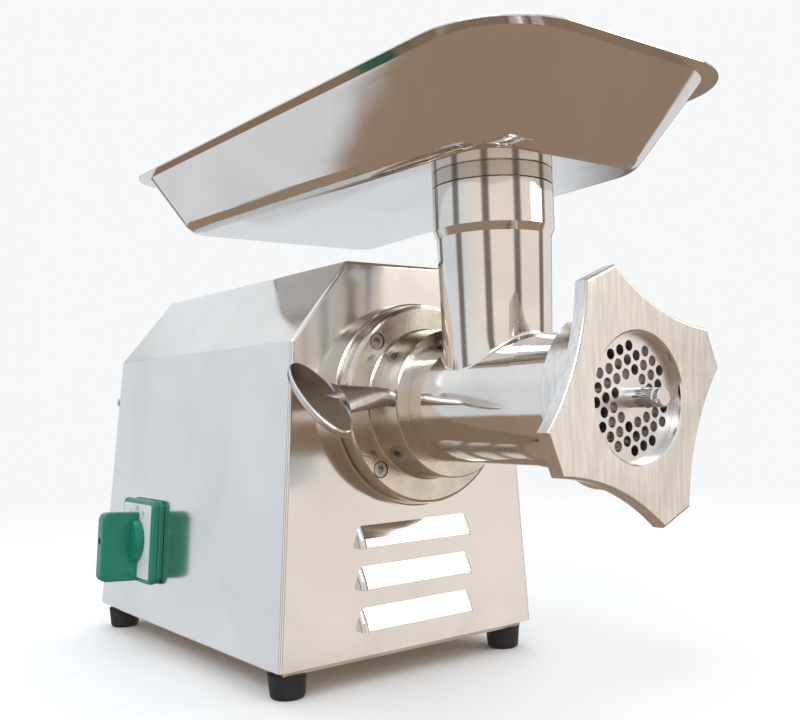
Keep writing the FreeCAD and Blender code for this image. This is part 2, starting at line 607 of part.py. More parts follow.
def head_casting():
    """Barrel with its shank, the thread for the ring nut and the feed tube, cast in one."""
    barrel = lathe([
        ("0", "-shank_seat - 0.3"), ("shank_radius - 1.05", "-shank_seat - 0.3"),
        ("shank_radius - fit", "-shank_seat - 1.3"),
        ("shank_radius - fit", "-hub_front - 0.1"), ("barrel_radius", "-hub_front - 0.1"),
        ("barrel_radius", "-barrel_step"), ("barrel_front_radius", "-barrel_step - 0.8"),
        ("barrel_front_radius", "-thread_start"), ("thread_radius - 1", "-thread_start"),
        ("thread_radius", "-thread_start - 1"), ("thread_radius", "-barrel_end + 1"),
        ("thread_radius - 1", "-barrel_end"), ("0", "-barrel_end")])
    middle = ("0", "-tube_forward", "axis_height")
    low = cone("tube_low_radius", "tube_neck_radius", "cup_bevel - axis_height", middle)
    bevel = cone("tube_neck_radius", "tube_radius", "cup_bottom - cup_bevel",
                 ("0", "-tube_forward", "cup_bevel"))
    cup = cylinder("tube_radius", "tube_top - cup_bottom", ("0", "-tube_forward", "cup_bottom"))
    cup_edge = rounded(cup, "0.6", level("Z", "tube_top"))
    body = fuse(barrel, low, bevel, cup_edge)
    document.recompute()

    def meeting(edge):
        """The saddle curve where the tube leaves the barrel."""
        box = edge.BoundBox
        reach = value("tube_low_radius")
        above = box.ZMin > value("axis_height") and box.ZMax < value("cup_bevel") - 10
        return above and box.YLength > reach and box.YMin > -value("barrel_end") + 20
    blended = rounded(body, "tube_blend", meeting)
    chamber = lathe([
        ("0", "-chamber_back"), ("chamber_radius", "-chamber_back"), ("chamber_radius", "-thread_start - 1"),
        ("plate_radius + 0.15", "-thread_start - 1"), ("plate_radius + 0.15", "-barrel_end - 1"),
        ("0", "-barrel_end - 1")])
    tail = lathe([
        ("0", "0"), ("shank_bore", "0"), ("shank_bore", "-back_wall"), ("journal_radius + fit", "-back_wall"),
        ("journal_radius + fit", "-chamber_back - 1"), ("0", "-chamber_back - 1")])
    throat = cylinder("tube_bore", "tube_top - axis_height + 1", middle)
    seat = cylinder("cup_bore", "tube_top - cup_seat + 1", ("0", "-tube_forward", "cup_seat"))
    key = cylinder("key_radius", "plate_thick + 3", key_spot("-barrel_end + plate_thick"), FORWARD)
    return cut(blended, chamber, tail, throat, seat, key)


def key_spot(y):
    """Place of the key pin that stops the plate from turning, at the plate's lower rim."""
    return ("0", y, "axis_height - plate_radius")


def star(length, start):
    """Four-lobed plate of the ring nut: flat tips, and hollow arcs between them."""
    angle = value("tip_angle")
    square = document.addObject("Part::Prism", "square")
    square.Polygon = 4
    bind(square, Circumradius="tip_radius * sqrt(2)", Height=length)
    put(square, ("0", start, "axis_height"), FORWARD.multiply(Rotation(Vector(0, 0, 1), angle - 45)))
    spread = "((tip_radius + tip_half) / sqrt(2) - nut_waist)"
    centre = f"((tip_radius^2 + tip_half^2 - nut_waist^2) / (2 * {spread}))"
    hollows = [cylinder(f"{centre} - nut_waist", f"({length}) * 3",
                        on_circle(centre, angle + 45 + 90 * turn, f"{start} + ({length})"), FORWARD)
               for turn in range(4)]
    soft = rounded(cut(square, *hollows), "1.5", level("Y", "-nut_face"))
    return soft


def ring_nut():
    """Ring nut: star plate and skirt, bored for the barrel's thread, with a lip that holds the plate."""
    skirt = lathe([("nut_opening", "-skirt_back"), ("skirt_radius - 1", "-skirt_back"),
                   ("skirt_radius", "-skirt_back - 1"), ("skirt_radius", "-nut_face + star_thick / 2"),
                   ("nut_opening", "-nut_face + star_thick / 2")])
    plate = star("star_thick", "star_thick - nut_face")
    bore = lathe([("0", "1 - skirt_back"), ("thread_radius + fit", "1 - skirt_back"),
                  ("thread_radius + fit", "nut_lip - nut_face - fit"),
                  ("nut_opening", "nut_lip - nut_face - fit"), ("nut_opening", "1 - nut_face"),
                  ("nut_opening + 1", "-nut_face"), ("nut_opening + 1", "-nut_face - 1"),
                  ("0", "-nut_face - 1")])
    return cut(fuse(skirt, plate), bore)


def hole_plate():
    """Mincing plate: a hexagonal grid of holes in a ring about the centre hole, and a key slot."""
    front = "nut_lip - nut_face"
    disc = lathe([("stud_radius + fit", front), ("plate_radius - 0.5", front),
                  ("plate_radius", f"{front} + 0.5"), ("plate_radius", f"{front} + plate_thick"),
                  ("stud_radius + fit", f"{front} + plate_thick")])
    reach = int(value("plate_outer / plate_pitch")) + 2
    turn = math.radians(value("plate_turn"))
    holes = []
    for row in range(-reach, reach + 1):
        for step in range(-reach, reach + 1):
            across = (step + row / 2) * math.cos(turn) - row * math.sqrt(0.75) * math.sin(turn)
            up = (step + row / 2) * math.sin(turn) + row * math.sqrt(0.75) * math.cos(turn)
            far = math.hypot(across, up) * value("plate_pitch")
            if value("plate_inner") < far < value("plate_outer"):
                spot = (f"plate_pitch * {across:.6f}", f"{front} + plate_thick + 1",
                        f"axis_height + plate_pitch * {up:.6f}")
                holes.append(cylinder("plate_hole", "plate_thick + 2", spot, FORWARD))
    slot = cylinder("key_radius + fit", "plate_thick + 2", key_spot(f"{front} + plate_thick + 1"), FORWARD)
    return cut(disc, group(*holes), slot)


def knife():
    """Cross knife: a hub with a square hole and four blades that sweep behind the plate."""
    back = "nut_lip - nut_face + plate_thick + fit"
    hub = cylinder("square_half * 2", "knife_thick", ("0", back, "axis_height"), BACKWARD)
    blades = [put(block("knife_radius", "blade_width", "knife_thick", ("0", "0", "0")),
                  on_circle("blade_width / 2", -90 + 90 * quarter, back),
                  Rotation(Vector(0, 1, 0), -90 * quarter).multiply(BACKWARD)) for quarter in range(4)]
    reach = cylinder("knife_radius", "knife_thick", ("0", back, "axis_height"), BACKWARD)
    hole = block("square_half * 2 + fit * 2", "knife_thick * 2", "square_half * 2 + fit * 2",
                 ("-square_half - fit", f"{back} - knife_thick / 2", "axis_height - square_half - fit"))
    return cut(common(fuse(hub, *blades), reach), hole)


def auger():
    """Auger: tapered core with a helical flight, journal, drive tang, knife square and front stud."""
    plate_back = "nut_lip - nut_face + plate_thick"
    front = f"{plate_back} + knife_thick + 1"
    shoulder = "-chamber_back - washer_thick"
    core = lathe([
        ("0", "-back_wall"), ("journal_radius", "-back_wall"), ("journal_radius", shoulder),
        ("core_back", shoulder), ("core_front", front), ("0", front)])
    stud = lathe([
        ("0", f"{front} + 1"), ("stud_radius", f"{front} + 1"), ("stud_radius", "5 - stud_tip"),
        ("stud_radius - groove_depth", "4.2 - stud_tip"), ("stud_radius - groove_depth", "3.2 - stud_tip"),
        ("stud_radius", "2.4 - stud_tip"), ("stud_radius", "0.8 - stud_tip"),
        ("stud_radius - 0.8", "-stud_tip"), ("0", "-stud_tip")])
    square = block("square_half * 2", "knife_thick + 1", "square_half * 2",
                   ("-square_half", plate_back + " + fit", "axis_height - square_half"))
    tang = block("tang_half * 2", "tang_length", "tang_half * 2",
                 ("-tang_half", "-back_wall", "axis_height - tang_half"))
    spine = bind(document.addObject("Part::Helix", "flight_path"), Pitch="flight_pitch",
                 Height="flight_length", Radius="flight_radius")
    profile = document.addObject("Part::Feature", "flight_section")
    root, tip = value("flight_root") / 2, value("flight_tip") / 2
    inner, outer = value("core_front") - 2, value("flight_radius")
    profile.Shape = Part.makePolygon([Vector(inner, 0, -root), Vector(outer, 0, -tip), Vector(outer, 0, tip),
                                      Vector(inner, 0, root), Vector(inner, 0, -root)])
    flight = document.addObject("Part::Sweep", "flight")
    flight.Sections = [profile]
    flight.Spine = spine
    flight.Solid = True
    flight.Frenet = True
    put(flight, ("0", "-flight_back - flight_root / 2", "axis_height"), FORWARD)
    return fuse(core, flight, stud, square, tang)


def head():
    """Everything that leaves with the head."""
    node("head_casting", head_casting())
    node("ring_nut", ring_nut())
    node("hole_plate", hole_plate())
    node("cross_knife", knife())
    node("auger", auger())
    node("thrust_washer", ring("washer_radius", "journal_radius + fit", "-chamber_back",
                               "-chamber_back - washer_thick"))
    node("plate_key", cylinder("key_radius", "plate_thick + 2", key_spot("-barrel_end + plate_thick"),
                               FORWARD))


# ---------------------------------------------------------------- tray

def tray_outline(half_rear, half_front, rear, front, corner_rear, corner_front, height, grow="0"):
    """Wire of a tapered rectangle with rounded corners; y is counted from the panel's face."""
    grow = value(grow)
    rear_y, front_y = value(rear) + grow, -value(front) - grow
    wide_rear, wide_front = value(half_rear) + grow, value(half_front) + grow
    round_rear, round_front = value(corner_rear) + grow, value(corner_front) + grow
    corners = [(-wide_rear, rear_y, round_rear), (wide_rear, rear_y, round_rear),
               (wide_front, front_y, round_front), (-wide_front, front_y, round_front)]
    level_z = value(height)
    points = [Vector(across, along, level_z) for across, along, _ in corners]
    arcs = []
    for index, (across, along, radius) in enumerate(corners):
        here, before, after = points[index], points[index - 1], points[(index + 1) % 4]
        back, ahead = (before - here).normalize(), (after - here).normalize()
        half = back.getAngle(ahead) / 2
        middle = (back + ahead).normalize()
        reach = radius / math.tan(half)
        centre = here + middle * (radius / math.sin(half))
        arcs.append((here + back * reach, centre - middle * radius, here + ahead * reach))
    edges = []
    for index, (start, bulge, end) in enumerate(arcs):
        edges.append(Part.Arc(start, bulge, end).toShape())
        edges.append(Part.LineSegment(end, arcs[(index + 1) % 4][0]).toShape())
    return Part.Wire(edges)


FLOOR = ("floor_half_rear", "floor_half_front", "floor_rear", "floor_front",
         "floor_corner_rear", "floor_corner_front")
RIM = ("rim_half_rear", "rim_half_front", "rim_rear", "rim_front", "rim_corner_rear", "rim_corner_front")


def basin(inset, raise_by, over):
    """Solid form of the tray's basin, its floor's edge rounded."""
    low = tray_outline(*FLOOR, f"tray_bottom + {raise_by}", f"-({inset})")
    high = tray_outline(*RIM, f"tray_rim + {over}", f"-({inset})")
    form = document.addObject("Part::Feature", "basin_form")
    form.Shape = Part.makeLoft([low, high], True, True)
    return rounded(form, f"tray_round - ({inset})", level("Z", f"tray_bottom + {raise_by}"))


def tray():
    """Feed tray: a pressed basin with a turned-out rim, and the neck that drops into the feed tube."""
    rim_sheet = document.addObject("Part::Feature", "rim_sheet")
    rim_sheet.Shape = Part.Face(tray_outline(*RIM, "tray_rim - tray_sheet", "rim_flange")).extrude(
        Vector(0, 0, value("tray_sheet")))
    hole = cylinder("neck_bore", "tray_sheet * 20", ("0", "-tube_forward", "tray_bottom - tray_sheet * 10"))
    soft_rim = rounded(rim_sheet, "tray_sheet * 0.45", level("Z", "tray_rim"))
    pan = cut(fuse(basin("0", "0", "0"), soft_rim), basin("tray_sheet", "tray_sheet", "tray_sheet"), hole)
    node("tray", pan)
    neck = document.addObject("PartDesign::Body", "neck")
    turned = neck.newObject("PartDesign::Revolution", "revolution")
    profile = outline_sketch(neck, "XZ_Plane", [
        ("neck_bore", "cup_seat + 0.3"), ("neck_spigot", "cup_seat + 0.3"), ("neck_spigot", "neck_lip"),
        ("neck_radius", "neck_lip"), ("neck_radius", "tray_bottom"), ("neck_bore", "tray_bottom")])
    turned.Profile = profile
    turned.ReferenceAxis = (profile, ["V_Axis"])
    turned.Angle = 360
    node("tray_neck", put(neck, ("0", "-tube_forward", "0")))


# ---------------------------------------------------------------- gearbox

def stadium(radius, start, length):
    """Long rounded block that spans the gear axes."""
    top = cylinder(radius, length, ("0", start, "axis_height"), BACKWARD)
    bottom = cylinder(radius, length, ("0", start, "box_low"), BACKWARD)
    middle = block(f"({radius}) * 2", length, "axis_height - box_low", (f"-({radius})", start, "box_low"))
    return fuse(top, bottom, middle)


def gear(teeth_name, module_name, start, end, height, bore, tooth_angle):
    """Spur gear with involute teeth; tooth_angle is where one tooth points, from +X towards +Z."""
    teeth, module = int(value(teeth_name)), value(module_name)
    pitch = teeth * module / 2
    base, tip, root = pitch * math.cos(math.radians(20)), pitch + module * 0.95, pitch - module * 1.25
    involute = math.tan(math.radians(20)) - math.radians(20)
    half = math.pi / (2 * teeth) - value("backlash") / (2 * pitch)

    def flank(radius):
        """Half of the tooth's angle at a radius."""
        pressure = math.acos(min(1, base / radius))
        return half + involute - (math.tan(pressure) - pressure)
    low = max(base, root)
    turn = math.radians(tooth_angle)

    def point(radius, angle):
        return Vector(radius * math.cos(angle), radius * math.sin(angle), 0)
    edges = []
    step = 2 * math.pi / teeth
    for tooth in range(teeth):
        middle = turn + tooth * step
        rise = [point(radius, middle - flank(radius)) for radius in (low, (low + tip) / 2, tip)]
        fall = [point(radius, middle + flank(radius)) for radius in (tip, (low + tip) / 2, low)]
        foot_in, foot_out = point(root, middle - flank(low)), point(root, middle + flank(low))
        if low > root + 0.01:
            edges.append(Part.LineSegment(foot_in, rise[0]).toShape())
        edges.append(Part.Arc(*rise).toShape())
        edges.append(Part.Arc(rise[2], point(tip, middle), fall[0]).toShape())
        edges.append(Part.Arc(*fall).toShape())
        if low > root + 0.01:
            edges.append(Part.LineSegment(fall[2], foot_out).toShape())
        next_foot = point(root, middle + step - flank(low))
        edges.append(Part.Arc(foot_out if low > root + 0.01 else fall[2],
                              point(root, middle + step / 2), next_foot).toShape())
    blank = document.addObject("Part::Feature", "gear_blank")
    blank.Shape = Part.Face(Part.Wire(edges)).extrude(Vector(0, 0, value(f"{end} - ({start})")))
    put(blank, ("0", end, height), FORWARD)
    long = f"({end} - ({start}))"
    return cut(blank, cylinder(bore, f"{long} * 3", ("0", f"{start} - {long}", height), BACKWARD))


def gearbox():
    """Gear case, cover, two gear stages, shafts and bearings."""
    case = stadium("box_radius", "box_front", "box_cover - box_front")
    room = stadium("cavity_radius", "box_cavity", "box_cover - box_cavity + 1")
    front_bearing = "box_cavity - big_bearing_width"
    pockets = [
        cylinder("big_bearing", "big_bearing_width + 1", ("0", front_bearing, "axis_height"), BACKWARD),
        cylinder("seal_journal + 1", "box_cavity * 2", ("0", "-box_front", "axis_height"), BACKWARD),
        cylinder("middle_bearing", "bearing_width + 1", ("0", "box_cavity - bearing_width", "middle_height"),
                 BACKWARD)]
    screw_angles = (20, 90, 160)
    low_angles = (-20, -90, -160)
    under_head = "box_end - box_screw * 2.1"
    cover_spots = [on_circle("box_screw_circle", angle, under_head) for angle in screw_angles]
    cover_spots += [on_circle("box_screw_circle", angle, under_head, "box_low") for angle in low_angles]
    threads = [cylinder("box_screw", "box_screw * 6", (across, "box_cover - box_screw * 5", up), BACKWARD)
               for across, _, up in cover_spots]
    taps = [cylinder("flange_screw", "box_cavity", on_circle("bolt_circle", angle, "-1"), BACKWARD)
            for angle in FOUR_CORNERS]
    ears = [cylinder("flange_screw * 2.2", "box_cavity - box_front",
                     on_circle("bolt_circle", angle, "box_front"), BACKWARD) for angle in FOUR_CORNERS]
    node("gear_case", cut(fuse(case, *ears), room, *pockets, *threads, *taps))
    cover = stadium("box_radius", "box_cover", "box_end - box_cover")
    holes = [
        cylinder("rear_bearing", "bearing_width + 1", ("0", "box_cover - 1", "axis_height"), BACKWARD),
        cylinder("middle_bearing", "bearing_width + 1", ("0", "box_cover - 1", "middle_height"), BACKWARD),
        cylinder("motor_shaft + 3", "box_end", ("0", "box_cover - 1", "motor_height"), BACKWARD)]
    holes += [cylinder("box_screw + fit", "box_end", (across, "box_cover - 1", up), BACKWARD)
              for across, _, up in cover_spots]
    holes += [cylinder("box_screw * 1.6 + fit * 6", "box_end", spot, BACKWARD) for spot in cover_spots]
    node("gear_cover", cut(cover, *holes))
    node("gear_cover_screws", group(*[
        socket_screw("box_screw", "box_end - box_cover + box_screw", "box_screw * 1.6", spot, BACKWARD)
        for spot in cover_spots]))
    node("output_gear", gear("output_teeth", "output_module", "output_gear_start", "output_gear_end",
                             "axis_height", "output_shaft", -90))
    shaft = lathe([
        ("0", "-socket_front"), ("socket_radius", "-socket_front"), ("socket_radius", "-socket_back"),
        ("seal_journal", "-socket_back"), ("seal_journal", f"{front_bearing} - 0.3"),
        ("output_shaft", f"{front_bearing} - 0.3"), ("output_shaft", "box_cover - 1"),
        ("rear_journal", "box_cover - 1"), ("rear_journal", "box_cover + bearing_width"),
        ("0", "box_cover + bearing_width")])
    socket = block("tang_half * 2 + fit * 2", "tang_length + 1.5", "tang_half * 2 + fit * 2",
                   ("-tang_half - fit", "-back_wall", "axis_height - tang_half - fit"))
    node("output_shaft", cut(shaft, socket))
    node("output_bearing_front", ring("big_bearing", "output_shaft + fit", front_bearing, "box_cavity"))
    node("output_bearing_rear", ring("rear_bearing", "rear_journal + fit", "box_cover",
                                     "box_cover + bearing_width"))
    node("middle_gear", gear("middle_teeth", "middle_module", "middle_gear_start", "middle_gear_end",
                             "middle_height", "middle_shaft", -90))
    gap = 90 + 180 / value("pinion_teeth")
    node("middle_pinion", gear("pinion_teeth", "output_module", "output_gear_start - 0.5",
                               "output_gear_end + 0.5", "middle_height", "middle_shaft", gap))
    near, far = "box_cavity - bearing_width", "box_cover + bearing_width"
    node("middle_shaft", lathe([("0", near), ("middle_shaft", near), ("middle_shaft", far), ("0", far)],
                               "middle_height"))
    node("middle_bearings", group(
        ring("middle_bearing", "middle_shaft + fit", near, "box_cavity", "middle_height"),
        ring("middle_bearing", "middle_shaft + fit", "box_cover", far, "middle_height")))
    node("motor_pinion", gear("pinion_teeth", "middle_module", "middle_gear_start - 0.5",
                              "middle_gear_end + 0.5", "motor_height", "motor_shaft * 0.6", gap))


# ---------------------------------------------------------------- motor

def bell(start, end, pocket_start):
    """End bell of the motor with a bearing pocket and four ears for the tie bolts."""
    thick = f"({end} - ({start}))"
    disc = cylinder("motor_radius", thick, ("0", start, "motor_height"), BACKWARD)
    ears = [cylinder("ear_radius", thick, on_circle("tie_circle", angle, start, "motor_height"), BACKWARD)
            for angle in FOUR_CORNERS]
    holes = [cylinder("tie_radius + fit", f"{thick} * 3",
                      on_circle("tie_circle", angle, f"{start} - 2 * {thick}", "motor_height"), BACKWARD)
             for angle in FOUR_CORNERS]
    pocket = cylinder("motor_bearing", "motor_bearing_width", ("0", pocket_start, "motor_height"), BACKWARD)
    bore = cylinder("rotor_shaft + 2", f"{thick} * 3", ("0", f"{start} - {thick}", "motor_height"), BACKWARD)
    return cut(fuse(disc, *ears), pocket, bore, *holes)


def motor():
    """Single-phase motor that hangs behind the gearbox."""
    at = "motor_height"
    node("motor_casing", ring("motor_radius", "motor_radius - motor_wall", "bell_front", "bell_rear", at))
    node("motor_bell_front", bell("box_end", "bell_front", "bell_front - motor_bearing_width"))
    node("motor_bell_rear", bell("bell_rear", "bell_end", "bell_rear"))
    node("stator_core", ring("motor_radius - motor_wall", "rotor_radius + air_gap", "core_start", "core_end",
                             at))
    node("stator_windings", group(
        ring("winding_radius", "winding_inner", "core_start - winding_length", "core_start", at),
        ring("winding_radius", "winding_inner", "core_end", "core_end + winding_length", at)))
    node("rotor_core", ring("rotor_radius", "rotor_shaft", "core_start", "core_end", at))
    pocket_front = "bell_front - motor_bearing_width"
    node("motor_shaft", lathe([
        ("0", "middle_gear_start - 0.5"), ("motor_shaft * 0.6", "middle_gear_start - 0.5"),
        ("motor_shaft * 0.6", "middle_gear_end + 0.5"), ("motor_shaft", "middle_gear_end + 0.5"),
        ("motor_shaft", "bell_front"), ("rotor_shaft", "bell_front"), ("rotor_shaft", "bell_rear"),
        ("motor_shaft", "bell_rear"), ("motor_shaft", "shaft_end"), ("0", "shaft_end")], at))
    node("motor_bearings", group(
        ring("motor_bearing", "motor_shaft + fit", pocket_front, "bell_front", at),
        ring("motor_bearing", "motor_shaft + fit", "bell_rear", "bell_rear + motor_bearing_width", at)))
    hub = ring("motor_shaft + 5", "motor_shaft", "fan_start", "fan_end", at)
    blades = [put(block("fan_radius - motor_shaft - 3", "fan_blade", "fan_end - fan_start", ("0", "0", "0")),
                  on_circle("motor_shaft + 3", angle, "fan_start", at),
                  Rotation(Vector(0, 1, 0), -angle).multiply(BACKWARD)) for angle in range(0, 360, 45)]
    node("cooling_fan", fuse(hub, *blades))
    lid = lathe([("motor_radius - fan_blade", "bell_end"), ("motor_radius", "bell_end"),
                 ("motor_radius", "cover_end"), ("0", "cover_end"), ("0", "cover_end - fan_blade"),
                 ("motor_radius - fan_blade", "cover_end - fan_blade")], at)
    slots = [cylinder("fan_blade * 2", "fan_blade * 3", on_circle("motor_radius * 0.55", angle,
                                                                  "cover_end - fan_blade * 2", at), BACKWARD)
             for angle in range(0, 360, 30)]
    node("fan_cover", cut(lid, *slots))
    node("motor_tie_bolts", group(*[
        socket_screw("tie_radius", "bell_end - box_end", "tie_radius * 1.7",
                     on_circle("tie_circle", angle, "bell_end", at), BACKWARD) for angle in FOUR_CORNERS]))
    saddle = block("bracket_half * 2", "bracket_width", "motor_height - base_height - motor_radius * 0.6",
                   ("-bracket_half", "bracket_start", "base_height"))
    around = cylinder("motor_radius", "bell_rear - bell_front", ("0", "bell_front", at), BACKWARD)
    node("motor_bracket", cut(saddle, around))
    over = "motor_height + motor_radius + clip_wall + capacitor_radius"
    node("run_capacitor", cylinder("capacitor_radius", "capacitor_length", ("0", "capacitor_start", over),
                                   BACKWARD))
    wide = "capacitor_radius + clip_wall"
    band = cylinder(wide, "capacitor_length / 4", ("0", "capacitor_start + capacitor_length / 3", over),
                    BACKWARD)
    base = block("capacitor_radius * 1.4", "capacitor_length / 4", "capacitor_radius",
                 ("-capacitor_radius * 0.7", "capacitor_start + capacitor_length / 3",
                  f"{over} - capacitor_radius * 1.35"))
    node("capacitor_clip", cut(fuse(band, base), around,
                               cylinder("capacitor_radius", "capacitor_length * 2",
                                        ("0", "capacitor_start - 10", over), BACKWARD)))
    strip = block("gland_across", "gland_thread * 2.4", "gland_thread * 2",
                  ("-gland_across / 2", "housing_length - rear_lean * 1.8", "base_height"))
    wells = [cylinder("tie_radius", "gland_thread", (f"gland_across * {place}",
                                                     "housing_length - rear_lean * 1.8 + gland_thread * 1.2",
                                                     "base_height + gland_thread")) for place in
             (-0.35, -0.12, 0.12, 0.35)]
    node("terminal_block", cut(strip, *wells))


# ---------------------------------------------------------------- switch on the left side panel

def switch_turn():
    """The switch's own frame: z out of the side panel, x to the front, y up the panel."""
    lean = math.radians(SIDE_ANGLE)
    return Rotation(Vector(0, -1, 0), Vector(math.sin(lean), 0, math.cos(lean)),
                    Vector(-math.cos(lean), 0, math.sin(lean)), "ZXY")


def switch_place(thing):
    """Move an object from the switch's own frame to the side panel."""
    centre = thing.Placement.Base
    turn = switch_turn()
    move = turn.multVec(centre)
    slope = "(base_width - shoulder_width) / 2 / (shoulder_height - base_height)"
    fall = f"{slope} * (switch_height - base_height)"
    thing.setExpression("Placement.Base.x", None)
    thing.setExpression("Placement.Base.y", None)
    thing.setExpression("Placement.Base.z", None)
    return put(thing, (f"-base_width / 2 + {fall} + ({move.x:.6f})", f"switch_back + ({move.y:.6f})",
                       f"switch_height + ({move.z:.6f})"), turn.multiply(thing.Placement.Rotation))


def frame_layer(start, end, inset):
    """One layer of the switch's frame, with rounded upright corners."""
    wide = f"switch_width - 2 * ({inset})"
    tall = f"switch_tall - 2 * ({inset})"
    raw = block(wide, tall, f"{end} - ({start})", (f"-({wide}) / 2", f"-({tall}) / 2", start))
    return rounded(raw, "switch_corner", runs_along("z"))


def switch():
    """Rotary reversing switch: frame, label plate, body inside the panel, spindle and knob."""
    face = rounded(frame_layer("switch_base + switch_gap", "switch_face", "0"), "1.8",
                   level("Z", "switch_face"))
    frame = fuse(frame_layer("0", "switch_base", "0.5"),
                 frame_layer("1", "switch_face - 1", "switch_inset"), face)
    margin = "label_margin"
    label = rounded(block(f"switch_width - 2 * {margin}", f"switch_tall - 2 * {margin}", "label_thick",
                          (f"{margin} - switch_width / 2", f"{margin} - switch_tall / 2",
                           "switch_face - label_thick / 2")), "switch_corner / 2", runs_along("z"))
    hole = cylinder("spindle * 2", "switch_face * 2", ("0", "0", "-1"))
    node("switch_frame", switch_place(cut(frame, hole, label)))
    node("label_plate", switch_place(cut(label, hole)))
    body = block("switch_body_width", "switch_body_tall", "switch_body_deep",
                 ("-switch_body_width / 2", "-switch_body_tall / 2", "-sheet - switch_body_deep"))
    node("switch_body", switch_place(cut(body, cylinder("spindle + fit", "switch_body_deep",
                                                        ("0", "0", "-switch_body_deep * 0.7")))))
    base = "switch_face + label_thick / 2 + knob_gap"
    skirt = cone("knob_radius", "knob_radius - 1", "knob_skirt", ("0", "0", base))
    grip = block("grip_thick", "grip_up + grip_down", "knob_out - knob_gap",
                 ("-grip_thick / 2", "-grip_down", base))
    outer = value("grip_up"), -value("grip_down")
    top = value(f"{base} + knob_out - knob_gap")

    def outer_corner(edge):
        """Short edges at the grip's outer ends."""
        box = edge.BoundBox
        return runs_along("x")(edge) and abs(box.ZMin - top) < 0.01 and (
            abs(box.YMin - outer[0]) < 0.01 or abs(box.YMin - outer[1]) < 0.01)
    grip = rounded(rounded(grip, "grip_corner", outer_corner), "1.6",
                   lambda edge: edge.BoundBox.ZMax > value(base) + 1 and not runs_along("x")(edge))
    screw_well = cylinder("spindle * 0.8", "knob_out", ("0", "0", f"{base} + knob_out * 0.55"))
    bore = cylinder("spindle", "knob_out * 0.4", ("0", "0", f"{base} - 1"))
    node("switch_knob", switch_place(cut(fuse(skirt, grip), screw_well, bore)))
    inside = "switch_body_deep * 0.6"
    node("switch_spindle", switch_place(cylinder("spindle", f"{inside} + switch_face + knob_out * 0.4",
                                                 ("0", "0", f"-{inside}"))))
    node("knob_screw", switch_place(cylinder("spindle * 0.8", "spindle",
                                             ("0", "0", f"{base} + knob_out * 0.55"))))


# ---------------------------------------------------------------- cord inlet

def cord_inlet():
    """Cord gland in the rear panel and the nut inside that holds it."""
    def at(out):
        return on_rear("gland_across", "gland_height", out)
    flange = cylinder("gland_radius", "3", at("sheet"), REAR_OUT)
    dome = cone("gland_radius", "gland_bore + 2", "gland_out - 3", at("sheet + 3"), REAR_OUT)
    thread = cylinder("gland_thread", "gland_in + sheet", at("-gland_in"), REAR_OUT)
    bore = cylinder("gland_bore", "gland_in + gland_out + 10", at("-gland_in - 5"), REAR_OUT)
    node("cord_gland", cut(fuse(flange, dome, thread), bore))
    nut = hexagon("gland_radius * 1.15", "4", at("-4"), REAR_OUT)
    node("gland_nut", cut(nut, cylinder("gland_thread", "12", at("-8"), REAR_OUT)))


# ---------------------------------------------------------------- all of it

node("housing", housing())
node("rear_panel", rear_panel())
node("rear_screws", rear_screws())
node("base_pan", base_pan())
base_hardware()
front_stack()
node("wing_bolt", wing_bolt())
head()
tray()
gearbox()
motor()
switch()
cord_inlet()
document.recompute()

broken = [thing.Label for thing in document.Objects
          if "Invalid" in thing.State or "Error" in thing.State]
broken += [label for label, thing in nodes.items()
           if thing.Shape.isNull() or not thing.Shape.isValid() or not thing.Shape.Solids]
if broken:
    raise RuntimeError("failed: " + ", ".join(broken))

whole = Part.makeCompound([thing.Shape for thing in nodes.values()]).optimalBoundingBox()
to_origin = Vector(-whole.Center.x, -whole.Center.y, -whole.ZMin)
os.makedirs("parts", exist_ok=True)
for label, thing in nodes.items():
    shape = thing.Shape.copy()
    shape.translate(to_origin)
    shape.exportStep(f"parts/{label}.step")
print("nodes", len(nodes), "moved by", tuple(round(part, 3) for part in to_origin))
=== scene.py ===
import json
import math

import bpy
from mathutils import Matrix, Vector

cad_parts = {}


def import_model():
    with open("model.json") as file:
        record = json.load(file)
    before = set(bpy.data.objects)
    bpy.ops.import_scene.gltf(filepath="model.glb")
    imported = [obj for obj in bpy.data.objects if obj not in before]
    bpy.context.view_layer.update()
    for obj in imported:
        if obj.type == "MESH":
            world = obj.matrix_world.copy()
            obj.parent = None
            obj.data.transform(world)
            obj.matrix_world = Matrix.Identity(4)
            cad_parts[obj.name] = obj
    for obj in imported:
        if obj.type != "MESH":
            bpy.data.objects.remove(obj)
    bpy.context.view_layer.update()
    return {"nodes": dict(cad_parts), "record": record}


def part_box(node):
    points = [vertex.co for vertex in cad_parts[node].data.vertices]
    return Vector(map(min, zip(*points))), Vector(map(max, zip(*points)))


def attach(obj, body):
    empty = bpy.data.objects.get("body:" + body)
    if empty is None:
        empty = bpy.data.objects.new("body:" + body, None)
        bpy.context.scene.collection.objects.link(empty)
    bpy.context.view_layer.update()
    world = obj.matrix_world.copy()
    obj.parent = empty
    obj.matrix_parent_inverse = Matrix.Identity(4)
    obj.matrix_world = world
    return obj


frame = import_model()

# Looks of a bench-top electric meat grinder, built around its CAD frame. Lengths are in metres and
# the frame is the CAD frame: +Z up, -Y the front, where the mince comes out, and +X the right-hand
# side of a person who looks along +Y.


def corners(node):
    """Lowest corner, highest corner and centre of a CAD node."""
    low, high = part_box(node)
    return low, high, (low + high) / 2


AXIS_X = corners("base_pan")[2].x
PANEL_Y = corners("spacer_ring")[1].y
AXIS_Z = corners("spacer_ring")[2].z


# ---------------------------------------------------------------- node helpers

